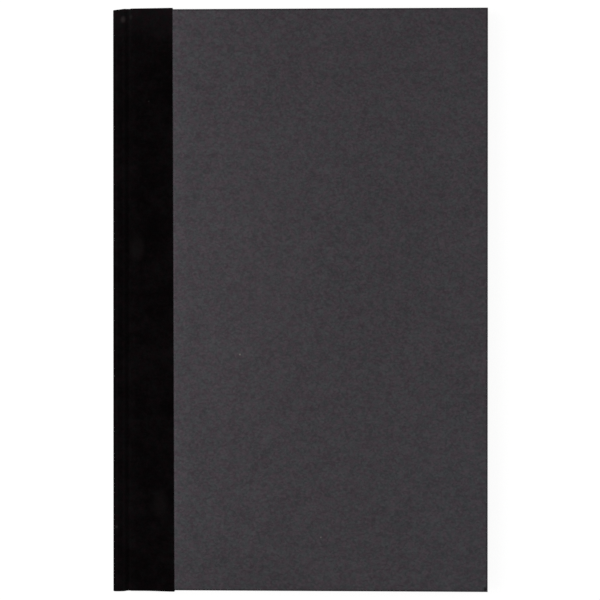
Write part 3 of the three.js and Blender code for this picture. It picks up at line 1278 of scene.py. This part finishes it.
@dataclass
class Case:
    """The notebook's case: two covers and the spine between them."""

    sizes: CaseSizes
    joint: JointForm
    cut: HandCut
    wardrobe: Wardrobe
    spine_blend: float = 3.0 * MM
    cover_blend: float = 4.0 * MM
    board_edge_radius: float = 0.7 * MM
    board_edge_steps: int = 4
    sharp_angle: float = 1.0
    paper_share: float = 0.8
    drape: float = 2.4 * MM
    inlay_ease: float = 1.2 * MM
    edge_steps: int = 6
    spine_steps: int = 12

    def height(self, side: Side, depth: float) -> float:
        """Height of a depth below a cover's outer face."""
        return self.sizes.thickness - depth if side is Side.FRONT else depth

    def inward(self, side: Side) -> float:
        """Sign of Z that points into the notebook from a cover."""
        return -1.0 if side is Side.FRONT else 1.0

    def edge_station(self, side: Side, angle: float) -> Station:
        """Station of the cloth on a rolled spine edge.

        Args:
            side: The cover at that edge.
            angle: Angle round the edge, 0 at the spine and a right angle at the cover.

        Returns:
            The station.
        """
        radius = self.joint.edge_radius
        inward = Vector((math.cos(angle), 0.0, self.inward(side) * math.sin(angle)))
        x = self.sizes.spine_x + radius * (1.0 - math.cos(angle))
        depth = self.joint.edge_depth - radius * math.sin(angle)
        return Station(Vector((x, 0.0, self.height(side, depth))), inward, self.sizes.doubled)

    def joint_stations(self, side: Side) -> list[Station]:
        """Stations of the cloth from the hinge line on the rolled spine edge to the seam.

        Args:
            side: The cover.

        Returns:
            The stations in order.
        """
        sizes, joint = self.sizes, self.joint
        angles = evenly(HINGE_ANGLE, math.pi / 2, self.edge_steps)
        stations = [self.edge_station(side, angle) for angle in angles]
        for distance in joint.distances(sizes.seam_x - sizes.spine_x):
            outer = joint.depth_at(distance)
            beyond = distance - (sizes.board_x - sizes.spine_x) + self.drape
            leaning = 1.0 - eased(beyond / (self.drape / 2))
            inward = Vector((-joint.slope_at(distance) * leaning, 0.0, self.inward(side))).normalized()
            deepest = sizes.cloth_turn_depth - outer
            depth = sizes.doubled + (deepest - sizes.doubled) * eased(beyond / self.drape)
            point = Vector((sizes.spine_x + distance, 0.0, self.height(side, outer)))
            stations.append(Station(point, inward, depth))
        return stations

    def spine_stations(self, side: Side) -> list[Station]:
        """Stations of the cloth from the middle of the spine to a hinge line.

        Args:
            side: The cover towards which they run.

        Returns:
            The stations in order.
        """
        sizes, low = self.sizes, self.joint.edge_depth
        behind_inlay = sizes.spine_turn_x - sizes.spine_x
        stations = []
        for depth in evenly(sizes.middle, low, self.spine_steps):
            share = eased((depth - low) / self.inlay_ease)
            turned = sizes.doubled + (behind_inlay - sizes.doubled) * share
            point = Vector((sizes.spine_x, 0.0, self.height(side, depth)))
            stations.append(Station(point, X_AXIS, turned))
        angles = evenly(0.0, HINGE_ANGLE, self.edge_steps) + [HINGE_ANGLE]
        return stations + [self.edge_station(side, angle) for angle in angles]

    def build_cloth(self) -> list[bpy.types.Object]:
        """Make the cloth as three stretches that meet at the hinge lines.

        Returns:
            The stretches on the front cover, the spine and the back cover.
        """
        sizes, low, cloth = self.sizes, self.joint.edge_depth, self.wardrobe.cloth
        front_stations = self.spine_stations(Side.FRONT)[:-1] + self.joint_stations(Side.FRONT)
        front = ClothSheet("cloth_front", sizes, front_stations, self.cut)
        front = front.build(cloth, Z_AXIS)
        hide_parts("front_cloth", "spine_cloth")
        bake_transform(front)

        spine_stations = self.spine_stations(Side.BACK)
        spine = ClothSheet("cloth_spine", sizes, spine_stations, self.cut, lie_sign=-1.0)
        spine = spine.build(cloth, -X_AXIS)
        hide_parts("spine_cloth")
        hinge = tuple(spine_stations[-1].point)
        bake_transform(spine)

        lie_start = -ClothSheet.runs(spine_stations)[-1]
        back = ClothSheet("cloth_back", sizes, self.joint_stations(Side.BACK), self.cut, lie_start, -1.0)
        back = back.build(cloth, -Z_AXIS)
        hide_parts("back_cloth")
        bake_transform(back)
        return [front, spine, back]

    @staticmethod
    def lies_at(item: bmesh.types.BMFace | bmesh.types.BMEdge, axis: int, place: float) -> bool:
        """Whether all corners of a face or edge have the same place along an axis."""
        return all(abs(vertex.co[axis] - place) < TOUCH for vertex in item.verts)

    def covering_mesh(self, low: Vector, high: Vector, inner_z: float) -> bmesh.types.BMesh:
        """Fold a sheet of covering paper round its board.

        A box is cut open: at the joint, and on its inner face inside the turn-ins. Then its edges
        along the board are rounded.

        Args:
            low: Lowest corner of the covering.
            high: Highest corner of the covering.
            inner_z: Height of the covering's inner face.

        Returns:
            The open sheet.
        """
        mesh = bmesh.new()
        bmesh.ops.create_cube(mesh, size=1.0)
        bmesh.ops.scale(mesh, vec=high - low, verts=mesh.verts)
        bmesh.ops.translate(mesh, vec=(high + low) / 2, verts=mesh.verts)
        fore, end = high.x - TURN_IN, high.y - TURN_IN
        for place, normal in ((fore, X_AXIS), (end, Y_AXIS), (-end, Y_AXIS)):
            inner = [face for face in mesh.faces if self.lies_at(face, 2, inner_z)]
            edges = {edge for face in inner for edge in face.edges}
            corners = {corner for face in inner for corner in face.verts}
            geometry = inner + list(edges) + list(corners)
            bmesh.ops.bisect_plane(mesh, geom=geometry, plane_co=normal * place, plane_no=normal)
        opened = [face for face in mesh.faces if self.lies_at(face, 0, low.x)]
        for face in mesh.faces:
            middle = face.calc_center_median()
            if self.lies_at(face, 2, inner_z) and middle.x < fore and abs(middle.y) < end:
                opened.append(face)
        bmesh.ops.delete(mesh, geom=opened, context="FACES")
        sharp = [edge for edge in mesh.edges
                 if len(edge.link_faces) == 2 and edge.calc_face_angle() > self.sharp_angle
                 and self.lies_at(edge, 2, edge.verts[0].co.z)]
        bmesh.ops.bevel(
            mesh, geom=sharp, offset=self.board_edge_radius, offset_type="OFFSET",
            segments=self.board_edge_steps, profile=0.5, affect="EDGES", material=-1,
        )
        return mesh

    def build_covering(self, side: Side) -> bpy.types.Object:
        """Make the covering paper of one cover.

        Args:
            side: The cover.

        Returns:
            The finished piece.
        """
        node = f"{side.value}_cover_paper"
        low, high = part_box(node)
        mesh = self.covering_mesh(low, high, low.z if side is Side.FRONT else high.z)
        piece = new_piece(f"covering_paper_{side.value}", mesh, self.wardrobe.covering)
        give_thickness(piece, self.sizes.paper * self.paper_share)
        keep_flats_flat(piece)
        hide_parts(node)
        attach(piece, f"{side.value}_cover")
        return piece

    def build(self) -> list[bpy.types.Object]:
        """Make every piece of the case."""
        return self.build_cloth() + [self.build_covering(side) for side in Side]


@dataclass
class Block:
    """What holds the sewn sections: the lining on their backs and the endpaper over the back joint."""

    sizes: CaseSizes
    wardrobe: Wardrobe
    rows: int = 41
    fold_reach: float = 0.6 * MM
    fold_steps: int = 12
    lining_steps: int = 3
    endpaper_fold: float = 0.15 * MM
    endpaper_dip: float = 0.4 * MM
    endpaper_rise: float = 2.0 * MM
    bridge_steps: int = 24
    board_steps: int = 8
    bend_start: float = -0.42 * MM
    bend_end: float = 2.2 * MM

    def sheet(self, name: str, material: bpy.types.Material, points: list[Vector], end_y: float,
              outside: Vector, thickness: float) -> bpy.types.Object:
        """Make a sheet that runs straight from tail to head.

        Args:
            name: Name of the piece.
            material: Its material.
            points: Points of its profile at Y 0.
            end_y: Half of its length.
            outside: The direction in which its face looks.
            thickness: Its thickness.

        Returns:
            The finished piece.
        """
        def place(column: int, row: int) -> Vector:
            """Place of a corner of the sheet."""
            return points[column] + Vector((0.0, end_y * (2.0 * row / (self.rows - 1) - 1.0), 0.0))

        mesh = laid_grid(len(points), self.rows, place)
        bmesh.ops.recalc_face_normals(mesh, faces=mesh.faces)
        piece = new_piece(name, mesh, material)
        flip_to_outside(piece, outside)
        give_thickness(piece, thickness)
        return piece

    def build_lining(self) -> bpy.types.Object:
        """Make the lining on the block's back, with fine columns at its fold.

        Returns:
            The finished piece.
        """
        rear_low, rear_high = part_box("rear_spine_lining")
        front_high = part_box("front_spine_lining")[1]
        middle, x = self.sizes.middle, rear_low.x
        fold_low, fold_high = middle - self.fold_reach, middle + self.fold_reach
        heights = evenly(rear_low.z, fold_low, self.lining_steps)
        heights += evenly(fold_low, fold_high, self.fold_steps)
        heights += evenly(fold_high, front_high.z, self.lining_steps) + [front_high.z]
        points = [Vector((x, 0.0, height)) for height in heights]
        outside, thickness = -X_AXIS, rear_high.x - x
        piece = self.sheet("spine_lining", self.wardrobe.mull, points, rear_high.y, outside, thickness)
        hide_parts("rear_spine_lining", "front_spine_lining")
        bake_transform(piece)
        return piece

    def build_back_endpaper(self) -> bpy.types.Object:
        """Make the pasted half of the back endpaper, which runs over the joint to its fold at the block.

        Returns:
            The finished piece.
        """
        low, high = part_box("back_pastedown")
        block, board = self.sizes.block_x, self.sizes.board_x
        places = evenly(block + self.endpaper_fold, board, self.bridge_steps)
        places += evenly(board, high.x, self.board_steps) + [high.x]
        points = []
        for x in places:
            dip = self.endpaper_dip * (1.0 - eased((x - board + self.endpaper_rise) / self.endpaper_rise))
            points.append(Vector((x, 0.0, high.z - dip)))
        outside, thickness = Z_AXIS, high.z - low.z
        piece = self.sheet("endpaper_back", self.wardrobe.endpaper, points, high.y, outside, thickness)
        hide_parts("back_pastedown")
        z = high.z - self.endpaper_dip
        start, end = (block + self.bend_start, 0.0, z), (block + self.bend_end, 0.0, z)
        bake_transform(piece)
        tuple(start)
        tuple(end)
        return piece

    def build(self) -> list[bpy.types.Object]:
        """Make every piece of the block that its nodes can't show."""
        return [self.build_lining(), self.build_back_endpaper()]


def dress_nodes(wardrobe: Wardrobe) -> list[bpy.types.Object]:
    """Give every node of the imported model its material.

    Args:
        wardrobe: The materials.

    Returns:
        The nodes.
    """
    by_slot = {
        "covering_paper": wardrobe.covering,
        "book_cloth": wardrobe.cloth,
        "greyboard": wardrobe.board,
        "leaves": wardrobe.pages,
        "endpaper": wardrobe.endpaper,
        "mull": wardrobe.mull,
        "thread": wardrobe.thread,
    }
    nodes = []
    for part in frame["record"]["subparts"]:
        node = frame["nodes"][part["node"]]
        node.data.materials.clear()
        node.data.materials.append(by_slot[part["material_slot"]])
        nodes.append(node)
    return nodes


@dataclass
class Studio:
    """Camera, floor and lights round the notebook."""

    sizes: CaseSizes
    camera_distance: float = 1.0
    camera_reach: tuple[float, float] = (0.05, 20.0)
    lean_right: float = math.radians(1.8)
    lean_up: float = math.radians(0.3)
    aim_px: tuple[float, float] = (0.25, 0.03)
    sensor_mm: float = 36.0
    floor_side: float = 6.0
    floor_roughness: float = 0.9
    floor_lit: float = 0.75
    floor_seen: float = 0.19
    floor_glow: float = 0.895
    dim_world: float = 0.5
    lamp_watts: float = 3.9
    lamp_size: tuple[float, float] = (0.5, 0.8)
    lamp_place: tuple[float, float, float] = (-0.55, 0.05, 0.66)

    def build_camera(self) -> None:
        """Look straight down on the front cover, framed as the photograph is."""
        height = PHOTO_SIDE_PX / PHOTO_PX_PER_MM * MM
        data = bpy.data.cameras.new("photo_camera")
        data.sensor_width = self.sensor_mm
        data.lens = self.sensor_mm * self.camera_distance / height
        data.clip_start, data.clip_end = self.camera_reach
        camera = bpy.data.objects.new("photo_camera", data)
        px = MM / PHOTO_PX_PER_MM
        aim = Vector((self.aim_px[0] * px, self.aim_px[1] * px, self.sizes.thickness))
        back = Vector((math.tan(self.lean_right), math.tan(self.lean_up), 1.0)).normalized()
        right = Y_AXIS.cross(back).normalized()
        turned = Matrix((right, back.cross(right), back)).transposed()
        camera.location = aim + back * self.camera_distance
        camera.rotation_euler = turned.to_euler()
        bpy.context.scene.collection.objects.link(camera)
        bpy.context.scene.camera = camera

    @staticmethod
    def seen_directly(graph: Graph) -> Socket:
        """Mask of the rays that see the background: from the camera, a gloss or through glass.

        Args:
            graph: The graph of the floor or the world.

        Returns:
            A socket with 1 for such a ray and 0 for light on its way to a surface.
        """
        rays = graph.add("ShaderNodeLightPath").outputs
        seen = graph.math("MAXIMUM", rays["Is Camera Ray"], rays["Is Glossy Ray"])
        return graph.math("MAXIMUM", seen, rays["Is Transmission Ray"])

    def build_floor(self) -> None:
        """Lay a plain white floor that keeps the notebook's shadow."""
        mesh = bmesh.new()
        bmesh.ops.create_grid(mesh, x_segments=1, y_segments=1, size=self.floor_side / 2)
        surface = Surface("white_floor")
        surface.give("Roughness", self.floor_roughness)
        surface.give("Specular IOR Level", 0.0)
        seen = self.seen_directly(surface)
        lit, plain = ((level, level, level, 1.0) for level in (self.floor_lit, self.floor_seen))
        surface.give("Base Color", surface.mix(seen, lit, plain))
        surface.give("Emission Color", WHITE)
        surface.give("Emission Strength", surface.times(seen, self.floor_glow))
        new_piece("floor", mesh, surface.material)

    def build_world(self) -> None:
        """Light the notebook softly from all round, and show a white background."""
        world = bpy.data.worlds.new("studio_world")
        world.use_nodes = True
        graph = Graph(world.node_tree)
        background = world.node_tree.nodes["Background"]
        background.inputs["Color"].default_value = WHITE
        extra = graph.times(self.seen_directly(graph), 1.0 - self.dim_world)
        graph.feed(background.inputs["Strength"], graph.plus(extra, self.dim_world))
        bpy.context.scene.world = world

    def build_lamp(self) -> None:
        """Hang a broad lamp above and to the left, turned to the notebook."""
        lamp = bpy.data.lights.new("broad_lamp", "AREA")
        lamp.shape = "RECTANGLE"
        lamp.size, lamp.size_y = self.lamp_size
        lamp.energy = self.lamp_watts
        holder = bpy.data.objects.new("broad_lamp", lamp)
        holder.location = self.lamp_place
        holder.rotation_euler = (-holder.location).to_track_quat("-Z", "Y").to_euler()
        bpy.context.scene.collection.objects.link(holder)

    def build(self) -> None:
        """Make the camera, floor and lights."""
        self.build_camera()
        self.build_floor()
        self.build_world()
        self.build_lamp()
        bpy.context.scene.view_settings.view_transform = "Standard"


def main() -> None:
    """Build the notebook's looks in order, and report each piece."""
    logging.basicConfig(level=logging.INFO, format="%(name)s: %(message)s")
    sizes = CaseSizes.from_frame()
    Studio(sizes).build()
    cut = HandCut()
    wardrobe = Wardrobe(sizes, cut)
    for node in dress_nodes(wardrobe):
        log.info("dressed %s", node.name)
    for assembly in (Case(sizes, JointForm(), cut, wardrobe), Block(sizes, wardrobe)):
        for piece in assembly.build():
            log.info("made %s", piece.name)


if __name__ == "__main__":
    main()
